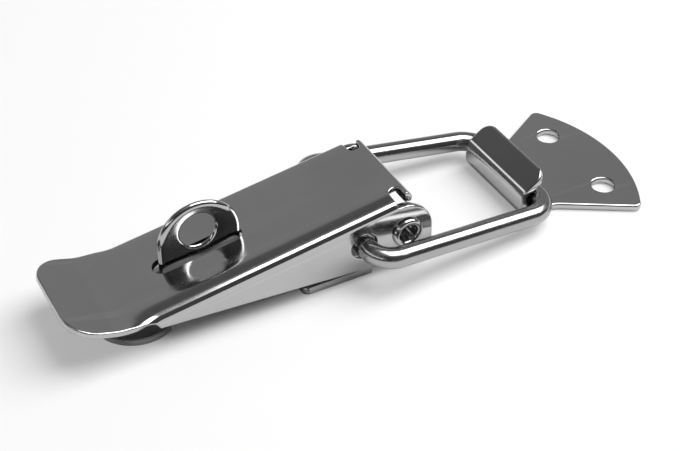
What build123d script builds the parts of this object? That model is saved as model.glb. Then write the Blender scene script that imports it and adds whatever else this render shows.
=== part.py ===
"""Over centre toggle latch with a padlock staple, closed, its hook engaged but not pulled tight.

Millimetres. The origin is the centre of the base's pad screw hole, on the panel that the latch is
screwed to. +X runs from the lever's finger tip to the keeper, +Z away from the panel.
"""

import os
from math import acos, cos, degrees, hypot, pi, radians, sin, tan

from build123d import *

os.makedirs("parts", exist_ok=True)

# Pivot of the lever
pivot_x = 49.9
pivot_z = 8.4

# Lever: folded sheet
lever_sheet = 1.2
lever_width = 22.4
lever_bend = 1.6  # outer radius of the long bends and of the lip's bend
lever_slope = 8.6  # degrees, the top falls towards the finger tip
top_over_pivot = 7.68
kick_distance = 55.2  # pivot to the line where the finger tip turns up
kick_angle = 17.4  # degrees, rise of the finger tip
kick_radius = 10.0
tip_length = 10.0
tip_corner = 5.5
flange_gap = 2.13  # panel to the flange's lower edge, under the pivot
flange_taper = 4.0  # degrees, between that edge and the panel
ear_radius = 6.5  # rounded rear end of the flanges
ear_before_pivot = 1.05  # centre of that rounding
ear_under_pivot = 0.45
ear_corner = 3.5  # radius between that rounding and the lower edge
runout_length = 6.2  # the flanges run out over this length, up to the kick
runout_radius = 8.0
bend_lift_radius = 7.3  # the long bends lift off the sheet on this radius where the flanges run out
bend_lift_angle = 60.0  # degrees, more than enough for the lift to leave the sheet
lip_distance = 1.9  # pivot to the lip's outer face
lip_end_over_pivot = 4.9
lip_side_gap = 0.5  # lip to the flanges' inner faces
lip_corner = 1.2
notch_width = 2.4  # relief notches between the long bends and the lip
notch_bottom_gap = 13.8  # between the notches' rounded ends
notch_before_pivot = 2.1
tiny = 0.01  # how near a corner or an edge has to be to the place it is picked by

# Base: folded sheet
base_sheet = 1.5
base_fold = 0.5  # inner radius of its folds
ear_clearance = 0.3  # base ears to the lever's flanges
pad_inset = 1.9  # the round pad and its strip stand back this much from the wide plate's side
screw_hole = 4.5
rim_chamfer = 0.3  # eased rims of the screw holes
plate_start = 29.3
plate_end = 55.9
plate_corner = 1.5
plate_screw_x = 35.4
plate_screw_spacing = 9.0
base_ear_radius = 4.6
base_ear_front = 44.4
base_ear_behind_pivot = 3.2
fold_relief = 1.0  # gap beside a fold
blend = 1.0  # small inside corners of the base's outline

# Padlock staple, folded up from the base
staple_x = 13.3
staple_width = 15.9
staple_centre_z = 13.15
staple_hole = 7.0
staple_hole_forward = 0.15
staple_hole_rise = 1.95
staple_hole_round = 0.6
staple_chamfer = 0.35
slot_side_gap = 1.3
slot_front_gap = 1.25
slot_rear_gap = 0.35

# Rivets: semi-tubular, fixed in the base ears
rivet_shank = 5.0
rivet_running_gap = 0.05
rivet_head = 7.0
rivet_head_thick = 0.9
rivet_rim = 6.1
rivet_rim_height = 0.8
rivet_rim_slope = 0.3  # the rolled rim falls away this much to each side of its crest
rivet_bore = 3.7
rivet_bore_depth = 2.6

# Bail: bent round wire
wire = 4.0
wire_hole = 5.2
wire_hole_distance = 8.9  # from the pivot, towards the finger tip
wire_hole_drop = 0.1
wire_pull = 0.2  # the wire lies this far off the hole's centre, towards the keeper
wire_end_inset = 2.0  # the ends stand in past the flanges' inner faces
bail_length = 39.9  # along X, from its ends to its crossbar
bail_side_gap = 3.3  # lever's flanges to the legs, at the ends
bail_end_radius = 4.0  # centre line
bail_bar_radius = 5.5  # centre line
wire_end_chamfer = 0.3

# Keeper: folded sheet
keeper_sheet = 1.5
hook_width = 20.3
hook_side_gap = 1.3  # hook to the bail's legs
hook_play = 1.4  # crossbar to the hook's wall
bar_clearance = 0.1  # crossbar to the keeper's plate
hook_bend = 3.0  # outer radius
hook_height = 6.34  # to the corner between its wall and its flap
flap_angle = 35.7  # degrees, the flap's rise
flap_length = 6.3
flap_corner = 2.6
neck_length = 8.2  # hook's outer face to where the fan begins
neck_round = 4.0
fan_side_step = 0.337  # the fan is wider than the bail by this much on each side
fan_radius = 32.2
fan_distance = 28.8  # hook's outer face to the fan's far end
fan_corner = 1.5
keeper_screw_distance = 20.2  # hook's outer face to the screw holes
keeper_screw_spacing = 19.2

# Sizes that follow
lever_half = lever_width / 2
lever_inner_half = lever_half - lever_sheet
lip_half = lever_inner_half - lip_side_gap
ear_outer = lever_inner_half - ear_clearance
ear_inner = ear_outer - base_sheet
pad_radius = ear_outer - pad_inset
wire_z = pivot_z - wire_hole_drop
wire_x = pivot_x - wire_hole_distance + wire_pull
bar_x = wire_x + bail_length
bar_z = keeper_sheet + bar_clearance + wire / 2
hook_x = bar_x - wire / 2 - hook_play - keeper_sheet
above_all = 2 * staple_centre_z  # a height that clears every piece


def top_height(x):
    """Height of the lever's top face, or of its straight continuation, above the panel."""
    return pivot_z + top_over_pivot + (x - pivot_x) * tan(radians(lever_slope))


def on_panel(height=0):
    """The plane of the panel, or one above it."""
    return Plane.XY.offset(height)


def facing_front(y):
    """A plane parallel to the latch's middle, at this Y, whose own Y is the height."""
    return Plane.XZ.offset(-y)


# ---------------------------------------------------------------------------------------------
# Lever
notch_x = pivot_x - notch_before_pivot
kick_x = pivot_x - kick_distance
tip_x = kick_x - tip_length * cos(radians(kick_angle))
tip_z = top_height(kick_x) + tip_length * sin(radians(kick_angle))
lip_x = pivot_x + lip_distance
wire_hole_x = wire_x - wire_pull
runout_x = kick_x + runout_length
runout_z = flange_gap + (pivot_x - runout_x) * tan(radians(flange_taper))
ear_x = pivot_x - ear_before_pivot
ear_z = pivot_z - ear_under_pivot
ear_top_angle = degrees(acos((notch_x - ear_x) / ear_radius))
ear_over_edge = ear_z - flange_gap - ear_before_pivot * tan(radians(flange_taper))
ear_low_angle = degrees(acos(ear_over_edge * cos(radians(flange_taper)) / ear_radius)) - flange_taper - 90
ear_end_x = ear_x + ear_radius * cos(radians(ear_low_angle))
ear_end_z = ear_z + ear_radius * sin(radians(ear_low_angle))

slot_front = staple_x - staple_width / 2 - slot_front_gap
slot_rear = staple_x + staple_width / 2 + slot_rear_gap
slot_middle = (slot_front + slot_rear) / 2
slot_width = base_sheet + 2 * slot_side_gap

down_slope = Vector(-cos(radians(lever_slope)), 0, -sin(radians(lever_slope)))


def across_the_top(x):
    """A plane square to the long bends, its X across the lever and its Y into the sheet."""
    return Plane(origin=(x, 0, top_height(x)), x_dir=(0, 1, 0), z_dir=down_slope)


def along_the_top(x):
    """A plane in the lever's top face, its X along the lever."""
    return Plane(origin=(x, 0, top_height(x)), x_dir=-down_slope, z_dir=across_the_top(x).y_dir)


def outside_of_bends():
    """What the two long bends leave out of a square edge, drawn on such a plane."""
    for side in (-1, 1):
        with Locations((side * lever_half, 0)):
            Rectangle(2 * lever_bend, 2 * lever_bend)
        with Locations((side * (lever_half - lever_bend), lever_bend)):
            Circle(lever_bend, mode=Mode.SUBTRACT)


with BuildPart() as lever:
    # Web: finger tip, kick, top and lip in one strip of sheet
    with BuildSketch(Plane.XZ):
        with BuildLine():
            outer_face = FilletPolyline(
                (tip_x, tip_z),
                (kick_x, top_height(kick_x)),
                (lip_x, top_height(lip_x)),
                (lip_x, pivot_z + lip_end_over_pivot),
                radius=(kick_radius, lever_bend),
            )
            offset(outer_face, amount=lever_sheet, side=Side.RIGHT)
        make_face()
    extrude(amount=lever_half, both=True)
    short_edges = lever.edges().filter_by(lambda edge: edge.length < 2 * lever_sheet)
    fillet(short_edges.sort_by(Axis.X)[:2], tip_corner)

    # Rear strip, narrower than the gap between the flanges, and the relief notches
    with BuildSketch(on_panel(above_all)):
        for side in (-1, 1):
            beside = Align.MIN if side > 0 else Align.MAX
            with Locations((notch_x, side * lip_half)):
                Rectangle(lever_width, lever_half, align=(Align.MIN, beside))
            notch_middle_y = side * (notch_bottom_gap + lever_width) / 2
            with Locations((notch_x + notch_width / 2, notch_middle_y)):
                SlotOverall(lever_width, notch_width, rotation=90)
    extrude(amount=-above_all, mode=Mode.SUBTRACT)

    # Slot for the padlock staple, square to the sheet
    with BuildSketch(along_the_top(slot_middle)):
        SlotOverall((slot_rear - slot_front) / cos(radians(lever_slope)), slot_width)
    extrude(amount=2 * lever_sheet, both=True, mode=Mode.SUBTRACT)

    # Front flange, with its rounded ear at the pivot and its run-out at the kick
    with BuildSketch(facing_front(-lever_half)):
        with BuildLine():
            notch_edge = Line(
                (notch_x, top_height(notch_x) - lever_sheet / 2),
                (notch_x, ear_z + ear_radius * sin(radians(ear_top_angle))),
            )
            ear = CenterArc((ear_x, ear_z), ear_radius, ear_top_angle, ear_low_angle - ear_top_angle)
            lower_edge = FilletPolyline(
                ear @ 1,
                (runout_x, runout_z),
                (kick_x, top_height(kick_x) - lever_sheet / 2),
                radius=runout_radius,
            )
            Polyline(
                lower_edge @ 1,
                (runout_x, top_height(runout_x) - lever_sheet / 2),
                notch_edge @ 0,
            )
        make_face()
    extrude(amount=-lever_sheet)
    ear_corner_edge = lever.edges().filter_by(
        lambda edge: abs(edge.center().X - ear_end_x) < tiny and abs(edge.center().Z - ear_end_z) < tiny
    )
    fillet(ear_corner_edge, ear_corner)

    # Holes for the rivets and the bail's ends
    with BuildSketch(facing_front(0)):
        with Locations((pivot_x, pivot_z)):
            Circle(rivet_shank / 2 + rivet_running_gap)
        with Locations((wire_hole_x, wire_z)):
            Circle(wire_hole / 2)
    extrude(amount=lever_width, mode=Mode.SUBTRACT)
    split(bisect_by=Plane.XZ)
    mirror(about=Plane.XZ)

    # Long bends, rounded inside and outside
    inner_corners = lever.edges().filter_by(
        lambda edge: abs(abs(edge.center().Y) - lever_inner_half) < tiny
        and edge.length > plate_end / 2
        and edge.center().Z > pivot_z
    )
    fillet(inner_corners, lever_bend - lever_sheet)
    with BuildSketch(across_the_top(notch_x + lever_sheet)):
        outside_of_bends()
    bend_length = (notch_x + lever_sheet - runout_x) / cos(radians(lever_slope))
    extrude(amount=bend_length, mode=Mode.SUBTRACT)
    runout_plane = across_the_top(runout_x)
    with BuildSketch(runout_plane):
        outside_of_bends()
    lift_axis = Axis(runout_plane.from_local_coords((0, -bend_lift_radius, 0)), (0, 1, 0))
    revolve(axis=lift_axis, revolution_arc=bend_lift_angle, mode=Mode.SUBTRACT)
    lip_corners = lever.edges().filter_by(
        lambda edge: abs(abs(edge.center().Y) - lip_half) < tiny
        and edge.center().Z < pivot_z + lip_end_over_pivot + tiny
    )
    fillet(lip_corners, lip_corner)
lever.part.label = "lever"
export_step(lever.part, "parts/lever.step")

# ---------------------------------------------------------------------------------------------
# Base plate, with the padlock staple and the ears that hold the rivets
fold_start = base_sheet / 2 + base_fold  # from the staple's middle plane to the flat strip
tongue_half = ear_inner - base_fold
base_ear_rear = pivot_x + base_ear_behind_pivot
base_ear_length = base_ear_rear - base_ear_front
staple_front = staple_x - staple_width / 2


def lies_at(*places):
    """Picks the corners or edges whose centres are at one of these (X, Y) places."""
    return lambda shape: any(
        abs(shape.center().X - x) < tiny and abs(shape.center().Y - y) < tiny for x, y in places
    )


def runs_along_x_at(y, z):
    """Picks the straight edges along X at this distance from the middle and this height."""
    return lambda edge: (
        edge.geom_type == GeomType.LINE
        and abs(edge.tangent_at(0).X) > 1 - tiny
        and abs(abs(edge.center().Y) - y) < tiny
        and abs(edge.center().Z - z) < tiny
    )


def rim_at(diameter, z):
    """Picks the rims of upright holes of this diameter at this height."""
    return lambda edge: (
        edge.geom_type == GeomType.CIRCLE
        and abs(edge.radius - diameter / 2) < tiny
        and abs(edge.length - pi * diameter) < tiny
        and abs(edge.center().Z - z) < tiny
    )


with BuildPart() as base_plate:
    # Flat blank: pad, strip beside the staple, wide plate and the feet of the folds
    with BuildSketch(on_panel()):
        Circle(pad_radius)
        high_left = (Align.MIN, Align.MAX)
        middle_left = (Align.MIN, Align.CENTER)
        with Locations((staple_front - fold_relief, fold_start)):
            Rectangle(pad_radius, 2 * pad_radius, align=high_left, mode=Mode.SUBTRACT)
        with Locations((0, fold_start)):
            Rectangle(plate_start, pad_radius - fold_start, align=Align.MIN)
        with Locations((plate_start, 0)):
            Rectangle(base_ear_front - fold_relief - plate_start, 2 * ear_outer, align=middle_left)
            Rectangle(plate_end - plate_start, 2 * tongue_half, align=middle_left)
        with Locations((staple_x, fold_start)):
            Rectangle(staple_width, base_sheet + base_fold, align=(Align.CENTER, Align.MAX))
        with Locations((base_ear_front, 0)):
            Rectangle(base_ear_length, 2 * ear_outer, align=middle_left)
    extrude(amount=base_sheet)
    upright = base_plate.edges().filter_by(Axis.Z)
    fillet(upright.filter_by(lies_at((plate_start, fold_start), (plate_start, pad_radius))), blend)
    for side in (-1, 1):
        plate_corners = lies_at((plate_start, side * ear_outer), (plate_end, side * tongue_half))
        fillet(upright.filter_by(plate_corners), plate_corner)

    # Staple
    with BuildSketch(facing_front(0)):
        with Locations((staple_x, staple_centre_z)):
            Circle(staple_width / 2)
            Rectangle(staple_width, staple_centre_z, align=(Align.CENTER, Align.MAX))
    extrude(amount=base_sheet / 2, both=True)

    # Ears, each a round end about the pivot on a foot that widens towards the finger tip
    for side in (-1, 1):
        with BuildSketch(facing_front(side * (ear_inner + base_sheet / 2))):
            with Locations((pivot_x, pivot_z)):
                Circle(base_ear_radius)
            with BuildLine():
                Line((base_ear_front, 0), (pivot_x, 0))
            make_hull()
            with Locations((base_ear_rear, 0)):
                Rectangle(base_ear_behind_pivot, pivot_z, align=(Align.MAX, Align.MIN))
        extrude(amount=base_sheet / 2, both=True)

    # Folds
    folded = base_plate.edges()
    fillet(
        folded.filter_by(runs_along_x_at(ear_outer, 0)).sort_by(Axis.X)[-2:]
        + folded.filter_by(runs_along_x_at(base_sheet / 2, 0)),
        base_fold + base_sheet,
    )
    folded = base_plate.edges()
    fillet(
        folded.filter_by(runs_along_x_at(ear_inner, base_sheet))
        + folded.filter_by(runs_along_x_at(base_sheet / 2, base_sheet)),
        base_fold,
    )

    # Holes for screws, rivets and padlock
    with BuildSketch(on_panel()):
        Circle(screw_hole / 2)
        with Locations((plate_screw_x, 0)):
            with GridLocations(0, plate_screw_spacing, 1, 2):
                Circle(screw_hole / 2)
    extrude(amount=base_sheet, mode=Mode.SUBTRACT)
    screw_rims = base_plate.edges().filter_by(rim_at(screw_hole, base_sheet))
    chamfer(screw_rims, rim_chamfer)
    with BuildSketch(facing_front(0)):
        with Locations((pivot_x, pivot_z)):
            Circle(rivet_shank / 2)
        with Locations((staple_x - staple_hole_forward, staple_centre_z + staple_hole_rise)):
            Circle(staple_hole / 2)
    extrude(amount=lever_half, both=True, mode=Mode.SUBTRACT)
    staple_rims = base_plate.edges().filter_by(
        lambda edge: abs(abs(edge.center().Y) - base_sheet / 2) < tiny
        and edge.center().Z > staple_centre_z
    )
    hole_rims = staple_rims.filter_by(lambda edge: edge.radius < staple_width / 2 - tiny)
    chamfer(staple_rims - hole_rims, staple_chamfer)
    fillet(hole_rims, staple_hole_round)
base_plate.part.label = "base_plate"
export_step(base_plate.part, "parts/base_plate.step")

# ---------------------------------------------------------------------------------------------
# Rivets: the head is inside the base ear and the rolled rim outside the lever's flange
rim_start = lever_half + rivet_running_gap
rim_top = rim_start + rivet_rim_height

for rivet_name, side in (("pivot_rivet_front", -1), ("pivot_rivet_back", 1)):
    with BuildPart() as rivet:
        with BuildSketch(Plane(origin=(pivot_x, 0, pivot_z))):
            with BuildLine():
                Polyline(
                    (0, side * (ear_inner - rivet_head_thick)),
                    (rivet_head / 2, side * (ear_inner - rivet_head_thick)),
                    (rivet_head / 2, side * ear_inner),
                    (rivet_shank / 2, side * ear_inner),
                    (rivet_shank / 2, side * rim_start),
                    (rivet_rim / 2, side * rim_start),
                    (rivet_rim / 2, side * (rim_top - rivet_rim_slope)),
                    (rivet_rim / 2 - rivet_rim_slope, side * rim_top),
                    (rivet_bore / 2 + rivet_rim_slope, side * rim_top),
                    (rivet_bore / 2, side * (rim_top - rivet_rim_slope)),
                    (rivet_bore / 2, side * (rim_top - rivet_bore_depth)),
                    (0, side * (rim_top - rivet_bore_depth)),
                    close=True,
                )
            make_face()
        revolve(axis=Axis((pivot_x, 0, pivot_z), (0, 1, 0)))
    rivet.part.label = rivet_name
    export_step(rivet.part, f"parts/{rivet_name}.step")

# ---------------------------------------------------------------------------------------------
# Bail: one wire bent in the plane through its two ends and its crossbar
wire_end_y = lever_inner_half - wire_end_inset
leg_y_at_ends = lever_half + bail_side_gap + wire / 2
leg_y_at_bar = (hook_width + wire) / 2 + hook_side_gap
bail_slope_length = hypot(bail_length, bar_z - wire_z)
bail_plane = Plane(
    origin=(wire_x, 0, wire_z),
    x_dir=(bail_length, 0, bar_z - wire_z),
    z_dir=(wire_z - bar_z, 0, bail_length),
)

with BuildPart() as bail:
    with BuildLine(bail_plane):
        centre_line = FilletPolyline(
            (0, -wire_end_y),
            (0, -leg_y_at_ends),
            (bail_slope_length, -leg_y_at_bar),
            (bail_slope_length, leg_y_at_bar),
            (0, leg_y_at_ends),
            (0, wire_end_y),
            radius=(bail_end_radius, bail_bar_radius, bail_bar_radius, bail_end_radius),
        )
    with BuildSketch(Plane(origin=centre_line @ 0, z_dir=centre_line % 0)):
        Circle(wire / 2)
    sweep(path=centre_line)
    wire_ends = bail.faces().filter_by(GeomType.PLANE)
    chamfer(wire_ends.edges(), wire_end_chamfer)
bail.part.label = "bail"
export_step(bail.part, "parts/bail.step")

# ---------------------------------------------------------------------------------------------
# Keeper plate: a hook with a flap, and a fan for the screws
neck_x = hook_x + neck_length
fan_x = hook_x + fan_distance
hook_half = hook_width / 2
fan_half_width = leg_y_at_ends + wire / 2 + fan_side_step
fan_corner_x = fan_x - fan_radius + (fan_radius**2 - fan_half_width**2) ** 0.5
fan_widening = (fan_half_width - hook_half) / (fan_corner_x - neck_x)
fan_half_at_end = hook_half + (fan_distance - neck_length) * fan_widening
flap_end = (
    hook_x + flap_length * cos(radians(flap_angle)),
    hook_height + flap_length * sin(radians(flap_angle)),
)

with BuildPart() as keeper_plate:
    # Hook: foot, wall and flap in one strip of sheet
    with BuildSketch(facing_front(0)):
        with BuildLine():
            hook_face = FilletPolyline(
                ((hook_x + hook_bend + neck_x) / 2, 0),
                (hook_x, 0),
                (hook_x, hook_height),
                flap_end,
                radius=hook_bend,
            )
            offset(hook_face, amount=keeper_sheet, side=Side.RIGHT)
        make_face()
    extrude(amount=hook_half, both=True)
    short_edges = keeper_plate.edges().filter_by(lambda edge: edge.length < keeper_sheet + tiny)
    fillet(short_edges.sort_by(Axis.Z)[-2:], flap_corner)

    # Fan
    with BuildSketch(on_panel()):
        with BuildLine():
            Polyline(
                (neck_x, -hook_half),
                (fan_x, -fan_half_at_end),
                (fan_x, fan_half_at_end),
                (neck_x, hook_half),
                close=True,
            )
        make_face()
        with Locations((fan_x - fan_radius, 0)):
            Circle(fan_radius, mode=Mode.INTERSECT)
        with Locations((neck_x, 0)):
            Rectangle(neck_length - hook_bend, hook_width, align=(Align.MAX, Align.CENTER))
    extrude(amount=keeper_sheet)
    fan_edges = keeper_plate.edges().filter_by(Axis.Z)
    fillet(fan_edges.filter_by(lies_at((neck_x, -hook_half), (neck_x, hook_half))), neck_round)
    fillet(fan_edges.sort_by(Axis.Y)[:1] + fan_edges.sort_by(Axis.Y)[-1:], fan_corner)

    # Screw holes
    with BuildSketch(on_panel()):
        with Locations((hook_x + keeper_screw_distance, 0)):
            with GridLocations(0, keeper_screw_spacing, 1, 2):
                Circle(screw_hole / 2)
    extrude(amount=keeper_sheet, mode=Mode.SUBTRACT)
    screw_rims = keeper_plate.edges().filter_by(rim_at(screw_hole, keeper_sheet))
    chamfer(screw_rims, rim_chamfer)
keeper_plate.part.label = "keeper_plate"
export_step(keeper_plate.part, "parts/keeper_plate.step")
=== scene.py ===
"""Looks of the over centre toggle latch: polished stainless sheet, wire and rivets on a white table."""

from math import ceil, cos, hypot, pi, radians, sin, sqrt, tan

import bpy
from mathutils import Matrix, Vector


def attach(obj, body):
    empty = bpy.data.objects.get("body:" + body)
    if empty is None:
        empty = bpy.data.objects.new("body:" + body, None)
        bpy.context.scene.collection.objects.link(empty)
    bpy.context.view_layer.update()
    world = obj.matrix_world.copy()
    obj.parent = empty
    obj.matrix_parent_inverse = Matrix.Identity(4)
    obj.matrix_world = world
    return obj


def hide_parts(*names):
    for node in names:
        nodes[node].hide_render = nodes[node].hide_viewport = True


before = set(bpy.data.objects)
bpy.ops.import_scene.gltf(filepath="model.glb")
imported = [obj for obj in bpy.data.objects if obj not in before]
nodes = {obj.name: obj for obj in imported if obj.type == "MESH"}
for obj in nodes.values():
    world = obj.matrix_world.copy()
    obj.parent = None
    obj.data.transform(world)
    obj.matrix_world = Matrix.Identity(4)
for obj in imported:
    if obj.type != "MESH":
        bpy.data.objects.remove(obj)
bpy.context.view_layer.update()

mm = 0.001
scene = bpy.context.scene


# ---------------------------------------------------------------------------------------------
# Shader maths
class Value:
    """A socket of a shader tree that takes part in arithmetic."""

    def __init__(self, tree, socket):
        self.tree = tree
        self.socket = socket

    def math(self, operation, *inputs):
        return self.tree.node("ShaderNodeMath", {"operation": operation}, list(inputs))[0]

    def __add__(self, other):
        return self.math("ADD", self, other)

    def __sub__(self, other):
        return self.math("SUBTRACT", self, other)

    def __rsub__(self, other):
        return self.math("SUBTRACT", other, self)

    def __mul__(self, other):
        return self.math("MULTIPLY", self, other)

    def __truediv__(self, other):
        return self.math("DIVIDE", self, other)

    def __pow__(self, other):
        return self.math("POWER", self, other)

    def __abs__(self):
        return self.math("ABSOLUTE", self)

    __radd__ = __add__
    __rmul__ = __mul__


class Tree:
    """The node tree of a material or of the world."""

    def __init__(self, owner):
        owner.use_nodes = True
        self.nodes = owner.node_tree.nodes
        self.links = owner.node_tree.links
        self.nodes.clear()

    def node(self, kind, settings=(), inputs=()):
        """Makes a node, sets it up, fills its sockets and gives its outputs."""
        node = self.nodes.new(kind)
        for name, setting in dict(settings).items():
            setattr(node, name, setting)
        named = inputs.items() if isinstance(inputs, dict) else enumerate(inputs)
        for key, given in named:
            if isinstance(given, Value):
                self.links.new(given.socket, node.inputs[key])
            else:
                node.inputs[key].default_value = given
        return [Value(self, socket) for socket in node.outputs]

    def rise(self, value, low, high, **settings):
        """Goes from 0 where the value is low to 1 where it is high."""
        inputs = {"Value": value, "From Min": low, "From Max": high}
        return self.node("ShaderNodeMapRange", {"clamp": True, **settings}, inputs)[0]

    def ramp(self, value, stops):
        """Grey levels along a value from 0 to 1: the stops are pairs of a value and a level."""
        colour = self.node("ShaderNodeValToRGB", (), [value])[0]
        elements = colour.socket.node.color_ramp.elements
        while len(elements) < len(stops):
            elements.new(1)
        for element, (place, level) in zip(elements, stops):
            element.position = place
            element.color = grey(level)
        return colour


def grey(level):
    return (level, level, level, 1)


# ---------------------------------------------------------------------------------------------
# Folded sheet, in millimetres until it is folded
rim = 0.04  # the flat faces' border beside the round edges
beside = 0.08  # from a bend's end to the score line outside of it
tiny = 0.001
soft_turn = radians(40)  # edges that turn less than this are shaded round
arc_parts = 22  # of the lever's ear and of the keeper's rim
halvings = 40  # of the span in which an edge is looked for
span = 30.0


def rounded(corners, closed=True, parts_in_quarter=10):
    """The points of a path whose corners are (x, y, radius)."""
    path = []
    for index, (x, y, radius) in enumerate(corners):
        corner = Vector((x, y))
        if radius == 0 or (not closed and index in (0, len(corners) - 1)):
            path.append(corner)
            continue
        before = (Vector(corners[index - 1][:2]) - corner).normalized()
        after = (Vector(corners[(index + 1) % len(corners)][:2]) - corner).normalized()
        half = before.angle(after) / 2
        centre = corner + (before + after).normalized() * radius / sin(half)
        start = corner + before * radius / tan(half) - centre
        turn = (pi - 2 * half) * (1 if before.cross(start) > 0 else -1)
        parts = max(2, ceil(abs(turn) / (pi / 2) * parts_in_quarter))
        for part in range(parts + 1):
            path.append(centre + Matrix.Rotation(turn * part / parts, 2) @ start)
    return path


def ring(x, y, radius, parts=40):
    """The points of a round hole."""
    return [
        Vector((x + radius * cos(2 * pi * part / parts), y + radius * sin(2 * pi * part / parts)))
        for part in range(parts)
    ]


def both_sides(half):
    """A closed outline from its half at +y, which begins and ends on the middle line."""
    return [Vector((x, -y)) for x, y in half if y > tiny] + half[::-1]


def pick(thing):
    """Makes one object the picked and active one."""
    bpy.ops.object.select_all(action="DESELECT")
    thing.select_set(True)
    bpy.context.view_layer.objects.active = thing


def made_mesh(name, curve):
    """Turns a curve into a mesh with its doubled points merged."""
    thing = bpy.data.objects.new(name, curve)
    scene.collection.objects.link(thing)
    pick(thing)
    bpy.ops.object.convert(target="MESH")
    bpy.ops.object.mode_set(mode="EDIT")
    bpy.ops.mesh.select_all(action="SELECT")
    bpy.ops.mesh.remove_doubles(threshold=tiny)
    bpy.ops.mesh.normals_make_consistent(inside=False)
    bpy.ops.object.mode_set(mode="OBJECT")
    return thing


def add_outline(curve, outline):
    """Adds a closed outline to a curve and fills it."""
    curve.dimensions = "2D"
    curve.fill_mode = "BOTH"
    spline = curve.splines.new("POLY")
    spline.points.add(len(outline) - 1)
    for point, (x, y) in zip(spline.points, outline):
        point.co = (x, y, 0, 1)
    spline.use_cyclic_u = True


def joined(base, other, operation):
    """Adds or takes away the other solid."""
    pick(base)
    change = base.modifiers.new(operation, "BOOLEAN")
    change.operation = operation
    change.object = other
    bpy.ops.object.modifier_apply(modifier=change.name)
    bpy.data.objects.remove(other)


def flat_sheet(name, outlines, thickness, edge):
    """A flat sheet in millimetres, cut along closed outlines, with round edges and a rim beside each."""
    curve = bpy.data.curves.new(name, "CURVE")
    curve.extrude = thickness / 2 - edge
    curve.bevel_depth = edge
    curve.bevel_resolution = 2
    curve.offset = -edge
    for outline in outlines:
        add_outline(curve, outline)
    sheet = made_mesh(name, curve)
    bpy.ops.object.mode_set(mode="EDIT")
    bpy.ops.mesh.select_mode(type="FACE")
    bpy.ops.object.mode_set(mode="OBJECT")
    for face in sheet.data.polygons:
        face.select = abs(face.normal.z) > 0.999
    bpy.ops.object.mode_set(mode="EDIT")
    bpy.ops.mesh.inset(thickness=rim)
    bpy.ops.object.mode_set(mode="OBJECT")
    return sheet


def score(sheet, places, way):
    """Cuts the faces of a sheet along straight lines across x (way 0) or y (way 1)."""
    pick(sheet)
    bpy.ops.object.mode_set(mode="EDIT")
    for place in places:
        bpy.ops.mesh.select_all(action="SELECT")
        facing = Vector((way == 0, way == 1, 0))
        bpy.ops.mesh.bisect(plane_co=facing * place, plane_no=facing)
    bpy.ops.object.mode_set(mode="OBJECT")


def follow(start, heading, steps, way):
    """The place and heading at a way along straight and evenly bent steps (length, turn)."""
    x, z = start
    for length, turn in steps:
        part = min(way, length)
        angle = turn * part / length
        if angle == 0:
            x += part * cos(heading)
            z += part * sin(heading)
        else:
            x += part / angle * (sin(heading + angle) - sin(heading))
            z += part / angle * (cos(heading) - cos(heading + angle))
        heading += angle
        way -= part
        if way <= 0:
            break
    return x, z, heading


def bend_lines(start, length, parts):
    """Score lines of a bend, with one more just outside each end."""
    inner = [start + length * part / parts for part in range(parts + 1)]
    return [start - beside] + inner + [start + length + beside]


def folded(sheet, placed, thickness):
    """Moves each point of a flat sheet to its folded place: placed(x, y) gives the outer face's
    point and its outward way there, and the sheet lies inside of that face."""
    for vertex in sheet.data.vertices:
        x, y, height = vertex.co
        point, outward = placed(x, y)
        vertex.co = (point + outward * (height - thickness / 2)) * mm
    sheet.data.update()
    pick(sheet)
    bpy.ops.object.mode_set(mode="EDIT")
    bpy.ops.mesh.select_all(action="SELECT")
    bpy.ops.mesh.normals_make_consistent(inside=False)
    bpy.ops.object.mode_set(mode="OBJECT")
    bpy.ops.object.shade_smooth_by_angle(angle=soft_turn)


def finish_piece(thing, node, body, material):
    """Gives a finished piece its steel and lets it stand for its node."""
    thing.data.materials.clear()
    thing.data.materials.append(material)
    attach(thing, body)
    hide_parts(node)




# ---------------------------------------------------------------------------------------------
# Lever
lever_sheet = 1.2
lever_edge = 0.3
lever_half = 11.19
lever_slope = radians(8.6)
tip_rise = radians(17.4)
kick_x, kick_z = -5.3, 7.73
kick_radius = 10.0
tip_length = 10.0
lip_x = 51.8
lip_end_z = 13.3
lip_radius = 1.6
lip_half = 9.5
notch_start, notch_end, notch_bottom = 47.8, 50.2, 6.9
crown_start = 7.58
crown_arcs = [(9.0, radians(16.3), 6), (1.5, radians(23.1), 5), (1.5, radians(50.6), 7)]
crown_width = sum(radius * angle for radius, angle, _ in crown_arcs)
run_out_start, run_out_end = -5.3, 0.9  # the side folds open out between these
run_out_flare = 0.1
flange_x, flange_z = 0.9, 5.56
flange_slope = radians(4.0)
flange_end_round = 3.5
ear_x, ear_z, ear_radius = 48.85, 7.95, 6.49
tip_round, tip_straight_end, lip_round, lip_top_round = 5.5, 0.5, 1.2, 0.5
pivot_x, pivot_z, pivot_hole_radius = 49.9, 8.4, 2.55
wire_hole_x, wire_hole_z, wire_hole_radius = 41.0, 8.3, 2.6
slot_start, slot_end, slot_width = 4.1, 21.6, 4.1

kick_turn = lever_slope + tip_rise
kick_reach = kick_radius * tan(kick_turn / 2)
kick_way = tip_length - kick_reach
kick_length = kick_radius * kick_turn
slope_way = kick_way + kick_length - kick_reach  # less the way from the kick's corner
lip_bend_x = lip_x - lip_radius * (1 + sin(lever_slope))
lip_bend_length = lip_radius * (pi / 2 + lever_slope)


def way_at(x):
    """The way from the tip to the point of the lever's top at x."""
    return slope_way + (x - kick_x) / cos(lever_slope)


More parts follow.
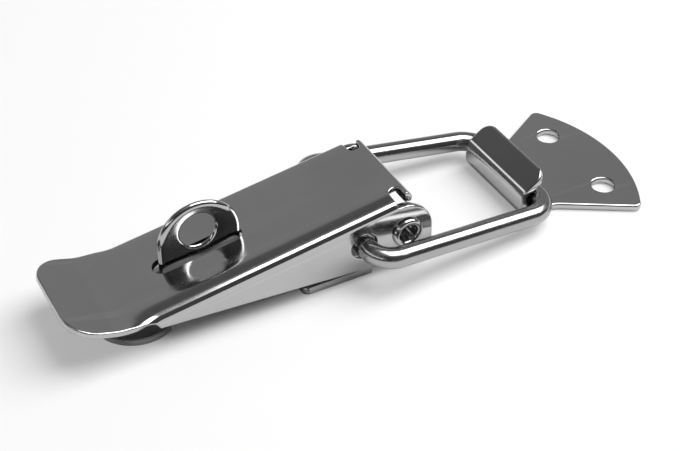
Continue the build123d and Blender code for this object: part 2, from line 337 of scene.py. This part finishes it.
lip_bend_way = way_at(lip_bend_x)
lip_bend_end_z = kick_z + (lip_bend_x - kick_x) * tan(lever_slope) - lip_radius * cos(lever_slope)
lip_end_way = lip_bend_way + lip_bend_length + lip_bend_end_z - lip_end_z
tip_point = (kick_x - tip_length * cos(tip_rise), kick_z + tip_length * sin(tip_rise))
endless = 200  # longer than what is left of the sheet
long_steps = [(kick_way, 0), (kick_length, kick_turn), (endless, 0)]
lip_steps = long_steps[:2] + [
    (lip_bend_way - kick_way - kick_length, 0),
    (lip_bend_length, -lip_bend_length / lip_radius),
    (endless, 0),
]


def crown(across, share):
    """How far out and down a point of the lever comes, and the sheet's turn there."""
    out, down, turn = crown_start, 0.0, 0.0
    left = across - crown_start
    if left <= 0 or share == 0:
        return across, 0.0, 0.0
    for radius, angle, _ in crown_arcs:
        part = min(left, radius * angle)
        bent = share * part / radius
        out += radius / share * (sin(turn + bent) - sin(turn))
        down += radius / share * (cos(turn) - cos(turn + bent))
        turn += bent
        left -= part
    return out + left * cos(turn), down + left * sin(turn), turn


def fold_share(way):
    """How much of the side fold is made: none at the kick, all past the run-out."""
    start, end = way_at(run_out_start), way_at(run_out_end)
    share = min(max((way - start) / (end - start), 0), 1)
    return share * share * (3 - 2 * share)


fold_drop = crown(crown_start + crown_width, 1)[1]


def on_flange(x, z):
    """The flat sheet's point for a point of the folded side."""
    along = (x - kick_x) * cos(lever_slope) + (z - kick_z) * sin(lever_slope)
    down = (x - kick_x) * sin(lever_slope) - (z - kick_z) * cos(lever_slope)
    across = crown_start + crown_width + down - fold_drop
    while crown(across, 1)[1] < down - 0.001:
        across += 0.002
    return Vector((slope_way + along, across))


def run_out_edge():
    """The sheet's edge from the kick, where it lies flat, to the full side."""
    points = []
    start, end = way_at(run_out_start), way_at(run_out_end)
    side_height = kick_z + (flange_x - kick_x) * tan(lever_slope) - flange_z
    parts = 16
    for part in range(1, parts):
        way = start + (end - start) * part / parts
        if way > on_flange(flange_x, flange_z).x - 0.3:
            break
        share = fold_share(way)
        height = lever_sheet + (side_height - lever_sheet) * part / parts
        widest = lever_half + run_out_flare * min(1, 3 * part / parts)
        low, high = crown_start, span
        for _ in range(halvings):
            middle = (low + high) / 2
            out, down, turn = crown(middle, share)
            if out < widest and down + lever_sheet * cos(turn) < height + 0.0001:
                low = middle
            else:
                high = middle
        points.append(Vector((way, max(low, lever_half))))
    return points


def lever_outline():
    """The flat sheet: round tip, run-out, flange with its ear, relief notch and the lip at the rear."""
    low_x = ear_x + ear_radius
    low_z = flange_z - (low_x - flange_x) * tan(flange_slope)
    top_angle = pi / 2 + (ear_x - notch_start) / ear_radius
    ear = [(flange_x, flange_z, 0), (low_x, low_z, flange_end_round), (low_x, ear_z, 0)]
    for part in range(1, arc_parts + 1):
        angle = top_angle * part / arc_parts
        ear.append((ear_x + ear_radius * cos(angle), ear_z + ear_radius * sin(angle), 0))
    side = [on_flange(x, z) for x, z in rounded(ear, closed=False)]
    start, end = way_at(notch_start), way_at(notch_end)
    notch_radius = (end - start) / 2 - 0.01
    front = [
        (start, side[-1].y, 0), (start, notch_bottom, notch_radius),
        (end, notch_bottom, notch_radius), (end, lip_half, lip_top_round),
        (lip_end_way, lip_half, lip_round), (lip_end_way, 0, 0),
    ]
    tip = [(0, 0, 0), (0, lever_half, tip_round), (way_at(run_out_start) - tip_straight_end, lever_half, 0)]
    half = rounded(tip, closed=False) + run_out_edge() + side[:-1] + rounded(front, closed=False)
    return both_sides(half)


def lever_point(way, across):
    """The folded place of a point of the lever's flat sheet, and the sheet's outward way there."""
    side = 1 if across > 0 else -1
    across = abs(across)
    in_lip = way > way_at((notch_start + notch_end) / 2) and across < lip_half + 0.3
    x, z, heading = follow(tip_point, -tip_rise, lip_steps if in_lip else long_steps, way)
    out, down, turn = (across, 0, 0) if in_lip else crown(across, fold_share(way))
    top = Vector((-sin(heading), 0, cos(heading)))
    outward = top * cos(turn) + Vector((0, side, 0)) * sin(turn)
    return Vector((x, side * out, z)) - top * down, outward


def slot_outline():
    """The slot for the staple, round at both ends, on the flat sheet."""
    start, end, half = way_at(slot_start), way_at(slot_end), slot_width / 2
    corners = [(start, -half), (end, -half), (end, half), (start, half)]
    return rounded([(way, across, half - tiny) for way, across in corners])


def make_lever():
    """Cuts the lever's sheet flat, punches its slot, scores its bends and folds it."""
    holes = []
    pivot_hole = (pivot_x, pivot_z, pivot_hole_radius)
    wire_hole = (wire_hole_x, wire_hole_z, wire_hole_radius)
    for x, z, radius in (pivot_hole, wire_hole):
        centre = on_flange(x, z)
        holes += [ring(centre.x, centre.y, radius), ring(centre.x, -centre.y, radius)]
    sheet = flat_sheet("lever_sheet", [lever_outline()] + holes, lever_sheet, lever_edge)
    punch = bpy.data.curves.new("slot_punch", "CURVE")
    punch.extrude = 2 * lever_sheet
    add_outline(punch, slot_outline())
    joined(sheet, made_mesh("slot_punch", punch), "DIFFERENCE")
    lines = [crown_start - beside, crown_start]
    for radius, angle, parts in crown_arcs:
        start = lines[-1]
        lines += [start + radius * angle * (part + 1) / parts for part in range(parts)]
    lines.append(lines[-1] + beside)
    score(sheet, lines + [-line for line in lines], 1)
    score(sheet, bend_lines(kick_way, kick_length, 7), 0)
    score(sheet, bend_lines(lip_bend_way, lip_bend_length, 8), 0)
    run_out_length = way_at(run_out_end) - way_at(run_out_start)
    score(sheet, bend_lines(way_at(run_out_start), run_out_length, 13), 0)
    folded(sheet, lever_point, lever_sheet)
    return sheet


# ---------------------------------------------------------------------------------------------
# Keeper
keeper_sheet = 1.5
keeper_edge = 0.42
fan_x, fan_radius, fan_half, fan_round = 105.0, 32.2, 18.83, 1.5
fan_end_angle = radians(33.0)
hook_x, hook_half, hook_bend = 76.2, 10.14, 3.0
hook_height, flap_length, flap_rise, flap_round = 6.34, 6.3, radians(35.7), 2.6
neck_x, neck_round = 84.4, 4.0
screw_x, screw_y, screw_hole_radius = 96.4, 9.6, 2.25
hook_reach = hook_bend * tan((pi / 2 - flap_rise) / 2)
keeper_steps = [
    (fan_x - hook_x - hook_bend, 0),
    (hook_bend * pi / 2, -pi / 2),
    (hook_height - hook_bend - hook_reach, 0),
    (hook_bend * (pi / 2 - flap_rise), flap_rise - pi / 2),
    (flap_length - hook_reach, 0),
]
keeper_length = sum(length for length, _ in keeper_steps)


def keeper_point(way, across):
    """The folded place of a point of the keeper's flat sheet, and the sheet's outward way there."""
    x, z, heading = follow((fan_x, 0), pi, keeper_steps, way)
    return Vector((x, across, z)), Vector((-sin(heading), 0, cos(heading)))


def make_keeper():
    """Cuts the keeper's fan and hook flat, scores its two bends and folds it."""
    corner_x = fan_x - fan_radius + sqrt(fan_radius**2 - fan_half**2)
    corners = []
    for part in range(arc_parts + 1):
        angle = fan_end_angle * part / arc_parts
        corners.append((fan_radius * (1 - cos(angle)), fan_radius * sin(angle), 0))
    corners += [
        (fan_x - corner_x, fan_half, fan_round), (fan_x - neck_x, hook_half, neck_round),
        (keeper_length, hook_half, flap_round), (keeper_length, 0, 0),
    ]
    holes = [ring(fan_x - screw_x, side * screw_y, screw_hole_radius) for side in (1, -1)]
    outline = both_sides(rounded(corners, closed=False))
    sheet = flat_sheet("keeper_sheet", [outline] + holes, keeper_sheet, keeper_edge)
    first = keeper_steps[0][0]
    second = first + keeper_steps[1][0] + keeper_steps[2][0]
    score(sheet, bend_lines(first, keeper_steps[1][0], 9), 0)
    score(sheet, bend_lines(second, keeper_steps[3][0], 8), 0)
    folded(sheet, keeper_point, keeper_sheet)
    return sheet


# ---------------------------------------------------------------------------------------------
# Bail
wire_radius = 1.995
bail_start, bail_end = Vector((41.2, 0, 8.3)), Vector((81.1, 0, 3.6))  # its ends and its crossbar
bail_inner_half, bail_start_half, bail_end_half = 8.0, 16.5, 13.45
bail_start_bend, bail_end_bend = 4.0, 5.5


def make_bail():
    """A round wire, bent from one end in the lever around the crossbar to the other end."""
    length = (bail_end - bail_start).length
    half = [
        (0, bail_inner_half, 0), (0, bail_start_half, bail_start_bend),
        (length, bail_end_half, bail_end_bend),
    ]
    corners = half + [(along, -across, radius) for along, across, radius in half[::-1]]
    middle_line = rounded(corners, closed=False, parts_in_quarter=24)
    curve = bpy.data.curves.new("bail_wire", "CURVE")
    curve.dimensions = "3D"
    curve.bevel_depth = wire_radius
    curve.bevel_resolution = 14
    curve.use_fill_caps = True
    spline = curve.splines.new("POLY")
    spline.points.add(len(middle_line) - 1)
    for point, (along, across) in zip(spline.points, middle_line):
        place = bail_start + (bail_end - bail_start) / length * along
        point.co = (place.x, across, place.z, 1)
    wire = made_mesh("bail_wire", curve)
    for vertex in wire.data.vertices:
        vertex.co *= mm
    wire.data.update()
    pick(wire)
    bpy.ops.object.shade_smooth_by_angle(angle=soft_turn)
    return wire


# ---------------------------------------------------------------------------------------------
# Rivets. The places are distances from the latch's middle plane
head_inside, head_outside, head_radius, head_slope = 7.31, 8.2, 3.49, 0.39
shank_radius, shank_end = 2.5, 11.25
rolled_start, rolled_middle, rolled_width, rolled_height = 3.04, 11.45, 0.6, 0.59
bore_radius, bore_bottom, bore_slope = 1.85, 9.45, 0.15
rolled_parts = 10


def make_rivet(side):
    """A semi-tubular rivet: a flat head inside of the base's ear and a rolled rim outside of the lever."""
    name = "rivet_front" if side < 0 else "rivet_back"
    rolled = []
    for part in range(rolled_parts, -1, -1):
        angle = pi * part / rolled_parts
        radius = bore_radius + rolled_width * (1 - cos(angle))
        rolled.append((radius, rolled_middle + rolled_height * sin(angle)))
    head = [
        (0, head_inside), (head_radius - head_slope, head_inside),
        (head_radius, head_inside + head_slope), (head_radius, head_outside),
    ]
    shank = [(shank_radius, head_outside), (shank_radius, shank_end), (rolled_start, shank_end)]
    bore = [
        (bore_radius, bore_bottom + bore_slope), (bore_radius - bore_slope, bore_bottom),
        (0, bore_bottom),
    ]
    profile = head + shank + rolled + bore
    mesh = bpy.data.meshes.new(name)
    mesh.from_pydata(
        [((pivot_x + radius) * mm, side * out * mm, pivot_z * mm) for radius, out in profile],
        [(index, index + 1) for index in range(len(profile) - 1)], [],
    )
    rivet = bpy.data.objects.new(name, mesh)
    scene.collection.objects.link(rivet)
    pick(rivet)
    bpy.ops.object.mode_set(mode="EDIT")
    bpy.ops.mesh.select_all(action="SELECT")
    centre = (pivot_x * mm, 0, pivot_z * mm)
    bpy.ops.mesh.spin(steps=48, angle=2 * pi, center=centre, axis=(0, 1, 0))
    bpy.ops.mesh.select_all(action="SELECT")
    bpy.ops.mesh.remove_doubles(threshold=tiny * mm)
    bpy.ops.mesh.normals_make_consistent(inside=False)
    bpy.ops.object.mode_set(mode="OBJECT")
    bpy.ops.object.shade_smooth_by_angle(angle=soft_turn)
    return rivet


# ---------------------------------------------------------------------------------------------
# Base with its padlock staple
staple_x, staple_half_width, staple_arc_z, staple_half = 13.3, 7.94, 13.15, 0.745
staple_foot_z = 1.0
staple_edge = 1.0  # how far the tumbled edge reaches into the face
eye_lip, eye_edge, eye_share = 0.45, 2.9, 0.6  # a small round rim, then a wide coined slope
eye_x, eye_z, eye_radius = 13.15, 15.1, 3.5
block_middle, block_size = Vector((staple_x, 0, 12.4)), Vector((19, 2.2, 20))  # around the plain staple


def swell(distance, reach):
    """Rises from 0 at an edge to 1 at its reach, round like a quarter of an ellipse."""
    left = 1 - min(distance / reach, 1)
    return sqrt(1 - left * left)


def staple_edge_distance(angle):
    """How far the staple's outline lies from the middle of its eye, at an angle from upright."""
    low, high = 0.0, span
    for _ in range(halvings):
        middle = (low + high) / 2
        x = eye_x + middle * sin(angle) - staple_x
        z = eye_z + middle * cos(angle)
        in_arc = hypot(x, z - staple_arc_z) < staple_half_width
        in_sides = z < staple_arc_z and abs(x) < staple_half_width
        if (in_arc or in_sides) and z > staple_foot_z:
            low = middle
        else:
            high = middle
    return low


def make_staple():
    """The upright ring: its eye is coined round and its outer edge is tumbled round."""
    around, across = 120, 16
    outer = [staple_edge_distance(2 * pi * step / around) for step in range(around)]
    points, faces = [], []
    for step in range(around):
        angle = 2 * pi * step / around
        for front in (1, -1):
            for part in range(across + 1):
                share = (1 - cos(pi * part / across)) / 2
                width = outer[step] - eye_radius
                inner, edge_way = width * share, width * (1 - share)
                slope = sin(pi / 2 * min(inner / eye_edge, 1))
                coined = (1 - eye_share) * swell(inner, eye_lip) + eye_share * slope
                height = staple_half * coined * swell(edge_way, staple_edge)
                reach = eye_radius + inner
                x, z = eye_x + reach * sin(angle), eye_z + reach * cos(angle)
                points.append(Vector((x, -front * height, z)) * mm)
    row = 2 * (across + 1)
    for step in range(around):
        here, there = step * row, (step + 1) % around * row
        for front in (0, across + 1):
            for part in range(front, front + across):
                faces.append((here + part, here + part + 1, there + part + 1, there + part))
    mesh = bpy.data.meshes.new("staple")
    mesh.from_pydata(points, [], faces)
    staple = bpy.data.objects.new("staple", mesh)
    scene.collection.objects.link(staple)
    pick(staple)
    bpy.ops.object.mode_set(mode="EDIT")
    bpy.ops.mesh.select_all(action="SELECT")
    bpy.ops.mesh.remove_doubles(threshold=tiny * mm)
    bpy.ops.mesh.normals_make_consistent(inside=False)
    bpy.ops.object.mode_set(mode="OBJECT")
    return staple


def make_base():
    """The node's own base with its plain staple cut off above the foot and the coined one put on."""
    pick(nodes["base_plate"])
    bpy.ops.object.duplicate()
    base = bpy.context.object
    base.name = "base_sheet"
    for key in list(base.keys()):
        del base[key]
    base.parent = None
    base.matrix_world = Matrix.Identity(4)
    bpy.ops.object.mode_set(mode="EDIT")
    bpy.ops.mesh.select_all(action="SELECT")
    bpy.ops.mesh.remove_doubles(threshold=tiny * mm / 2)
    bpy.ops.object.mode_set(mode="OBJECT")
    bpy.ops.object.select_all(action="DESELECT")
    bpy.ops.mesh.primitive_cube_add(size=1, location=block_middle * mm)
    block = bpy.context.object
    block.scale = block_size * mm
    bpy.ops.object.transform_apply(scale=True, location=True)
    joined(base, block, "DIFFERENCE")
    joined(base, make_staple(), "UNION")
    pick(base)
    bpy.ops.object.shade_smooth_by_angle(angle=radians(35))
    even = base.modifiers.new("even", "WEIGHTED_NORMAL")
    even.keep_sharp = True
    bpy.ops.object.modifier_apply(modifier=even.name)
    return base


# ---------------------------------------------------------------------------------------------
# Materials
# Painted shade: the staple's foot, the pad under the lever's tip and the punched walls of the lever's slot,
# below the lever's top, are darkened and made rougher where shade falls.
# Each pair is a short way, in millimetres, over which this painted shade fades.
painted_shade_end_x = (24, 26)
pad_top_z = (1.05, 1.15)
foot_top = (-0.5, 0.9)  # over the lever's top, as the next two
slot_wall_bottom = (-1.1, -1.0)
slot_wall_top = (-0.2, -0.1)
slot_side = (3.5, 4.0)
scratch_sets = [(0.12, 160, 5200, 0.70), (1.1, 130, 4600, 0.71), (-0.7, 150, 5000, 0.71)]
scratch_fade = 0.06


def polished_steel(name, level, roughness, foot_painted_shade_and_dull=0.0, slot_painted_shade_and_dull=0.0):
    """Polished stainless steel: rolling grain along the latch, rubbed patches, fine scratches and
    duller, lighter edges where the pieces were tumbled. Painted shade: places under the lever's top are
    darkened by a share and lose a share of their shine."""
    material = bpy.data.materials.new(name)
    tree = Tree(material)
    place = tree.node("ShaderNodeTexCoord")[3]

    def noise(scale, detail, turn=0.0, stretch=(1, 1, 1)):
        turned = {"Vector": place, "Rotation": (0, 0, turn), "Scale": stretch}
        spot = tree.node("ShaderNodeMapping", {}, turned)[0]
        return tree.node("ShaderNodeTexNoise", {}, {"Vector": spot, "Scale": scale, "Detail": detail})[0]

    def past(value, fade):
        return tree.rise(value, fade[0] * mm, fade[1] * mm)

    x, y, z = tree.node("ShaderNodeSeparateXYZ", {}, [place])
    over_lever = (z - kick_z * mm) - (x - kick_x * mm) * tan(lever_slope)
    foot = past(z, pad_top_z) * (1 - past(over_lever, foot_top))
    slot_walls = past(over_lever, slot_wall_bottom) * (1 - past(over_lever, slot_wall_top))
    slot_walls *= 1 - past(abs(y), slot_side)
    # Painted shade: under the lever's top a share of the base colour is taken away and roughness is added.
    painted_shade_and_dull = (1 - past(x, painted_shade_end_x)) * (foot_painted_shade_and_dull * foot + slot_painted_shade_and_dull * slot_walls)

    patches = noise(70, 5)
    rubbed = tree.rise(noise(38, 3), 0.48, 0.72)
    grain = noise(1, 3, 0.0, (90, 2600, 2600))
    scratches = sum(
        tree.rise(noise(1, 1, turn, (along, across, across)), start, start + scratch_fade)
        for turn, along, across, start in scratch_sets
    )
    edge = tree.rise(tree.node("ShaderNodeNewGeometry")[7], 0.52, 0.60)
    shade = 0.93 + patches * 0.14 + edge * 0.08 - rubbed * 0.05
    blur = (patches + grain + rubbed) * 0.05 + edge * 0.08 + scratches * 0.10 + painted_shade_and_dull * 0.3
    uneven = {"Strength": 0.06, "Distance": 0.05 * mm, "Height": noise(130, 1)}
    dented = tree.node("ShaderNodeBump", {}, uneven)[0]
    lines = {"Strength": 0.05, "Distance": 0.003 * mm, "Height": grain * 0.4 - scratches, "Normal": dented}
    # The base colour is darkened by the painted shade under the lever's top.
    surface = tree.node(
        "ShaderNodeBsdfPrincipled", {},
        {
            "Base Color": level * shade * (1 - painted_shade_and_dull),
            "Metallic": 1.0,
            "Roughness": roughness + blur,
            "Normal": tree.node("ShaderNodeBump", {}, lines)[0],
        },
    )[0]
    tree.node("ShaderNodeOutputMaterial", {}, {"Surface": surface})
    return material


table_paper = 0.9
table_glow = 0.3
table_glow_in_steel = 0.8
mirrored_white = 0.8
far_away = (0.1, 0.5)  # metres from the latch, where the mirrored table starts and stops to brighten
painted_shadow_x, painted_shadow_half_length = 28, (24, 28)  # painted shadow: the table's glow is taken away under the lever, so the table is darker there
painted_shadow_y, painted_shadow_half_width = 2, (8.8, 13)


def white_table():
    """A white table that stays bright far from the lamp and keeps the latch's shadow, with a painted shadow
    under the lever where its glow is taken away.
    """
    material = bpy.data.materials.new("white_table")
    tree = Tree(material)
    paper = tree.node("ShaderNodeBsdfDiffuse", {}, {"Color": grey(table_paper)})[0]
    ray = tree.node("ShaderNodeLightPath")
    seen, mirrored = ray[0], ray[3]
    whiteness = 1 - mirrored * (1 - mirrored_white)
    white = tree.node("ShaderNodeEmission", {}, {"Color": whiteness, "Strength": 1.0})[0]
    place = tree.node("ShaderNodeTexCoord")[3]
    distance = tree.node("ShaderNodeVectorMath", {"operation": "LENGTH"}, [place])[1]
    far = tree.rise(distance, *far_away, interpolation_type="SMOOTHSTEP")
    x, y, _ = tree.node("ShaderNodeSeparateXYZ", {}, [place])
    # Painted shadow: the glow that the camera sees is taken away under the lever.
    painted_shadow_mask = 1
    for value, middle, half in ((y, painted_shadow_y, painted_shadow_half_width), (x, painted_shadow_x, painted_shadow_half_length)):
        painted_shadow_mask = painted_shadow_mask * (1 - tree.rise(abs(value - middle * mm), half[0] * mm, half[1] * mm))
    share = seen * (1 - painted_shadow_mask) * table_glow + mirrored * far * table_glow_in_steel
    surface = tree.node("ShaderNodeMixShader", {}, [share, paper, white])[0]
    tree.node("ShaderNodeOutputMaterial", {}, {"Surface": surface})
    return material


# ---------------------------------------------------------------------------------------------
# Pieces
# The lever's sheet gets painted shade on its slot's walls, and the base gets it on its staple's foot and
# pad under the lever's top.
sheet_steel = polished_steel("polished_steel", level=0.47, roughness=0.05, slot_painted_shade_and_dull=0.85)
base_steel = polished_steel("base_steel", level=0.47, roughness=0.05, foot_painted_shade_and_dull=0.6)
wire_steel = polished_steel("wire_steel", level=0.40, roughness=0.12)
rivet_steel = polished_steel("rivet_steel", level=0.47, roughness=0.06)

finish_piece(make_lever(), "lever", "lever", sheet_steel)
finish_piece(make_keeper(), "keeper_plate", "base", sheet_steel)
finish_piece(make_bail(), "bail", "bail", wire_steel)
finish_piece(make_rivet(-1), "pivot_rivet_front", "base", rivet_steel)
finish_piece(make_rivet(1), "pivot_rivet_back", "base", rivet_steel)
finish_piece(make_base(), "base_plate", "base", base_steel)


# ---------------------------------------------------------------------------------------------
# Table, light and camera
bpy.ops.object.select_all(action="DESELECT")
bpy.ops.mesh.primitive_plane_add(size=6, location=(0, 0, -0.01 * mm))
table = bpy.context.object
table.name = "table"
table.data.materials.append(white_table())

latch_middle = Vector((45, 0, 5)) * mm
lamp_way = Vector((0.5, -0.155, 0.85)).normalized()
lamp_distance, lamp_length, lamp_width, lamp_power = 0.8, 0.9, 0.58, 8.5
along = Vector((1, 0, 0))
along = (along - along.dot(lamp_way) * lamp_way).normalized()
lamp = bpy.data.lights.new("ceiling_panel", "AREA")
lamp.shape = "RECTANGLE"
lamp.size = lamp_length
lamp.size_y = lamp_width
lamp.energy = lamp_power
lamp_object = bpy.data.objects.new("ceiling_panel", lamp)
turned = Matrix((along, lamp_way.cross(along), lamp_way)).transposed()
lamp_object.matrix_world = Matrix.Translation(latch_middle + lamp_distance * lamp_way) @ turned.to_4x4()
scene.collection.objects.link(lamp_object)

world = bpy.data.worlds.new("room")
scene.world = world
tree = Tree(world)
side, back, up = tree.node("ShaderNodeSeparateXYZ", {}, [tree.node("ShaderNodeTexCoord")[0]])
round_x = back / (back * back + up * up + 0.0001) ** 0.5
bands = tree.ramp(round_x * 0.5 + 0.5, [
    (0.0, 0.08), (0.235, 0.08), (0.25, 0.42), (0.6, 0.42), (0.64, 0.11), (0.785, 0.14), (0.845, 0.33),
    (1.0, 0.34),
])
ends = tree.ramp(side * 0.5 + 0.5, [(0.28, 0.38), (0.5, 1.0), (0.74, 1.0), (0.82, 0.85)])
low_window = tree.ramp(up, [(0.0, 0.0), (0.33, 0.0), (0.38, 1.6), (0.47, 1.6), (0.53, 0.0)])
low_window *= tree.rise(side, -0.5, -0.6)
room = bands * ends + low_window
background = tree.node("ShaderNodeBackground", {}, {"Color": room, "Strength": 1.0})[0]
tree.node("ShaderNodeOutputWorld", {}, {"Surface": background})

camera_place = Vector((-57.32, -184.71, 173.65)) * mm
camera_way = Vector((0.3686, 0.6865, -0.6268))
camera = bpy.data.cameras.new("camera")
camera.sensor_width = 36
camera.lens = 75.41
camera_object = bpy.data.objects.new("camera", camera)
camera_object.location = camera_place
camera_object.rotation_euler = camera_way.to_track_quat("-Z", "Y").to_euler()
scene.collection.objects.link(camera_object)
scene.camera = camera_object
scene.view_settings.view_transform = "Standard"
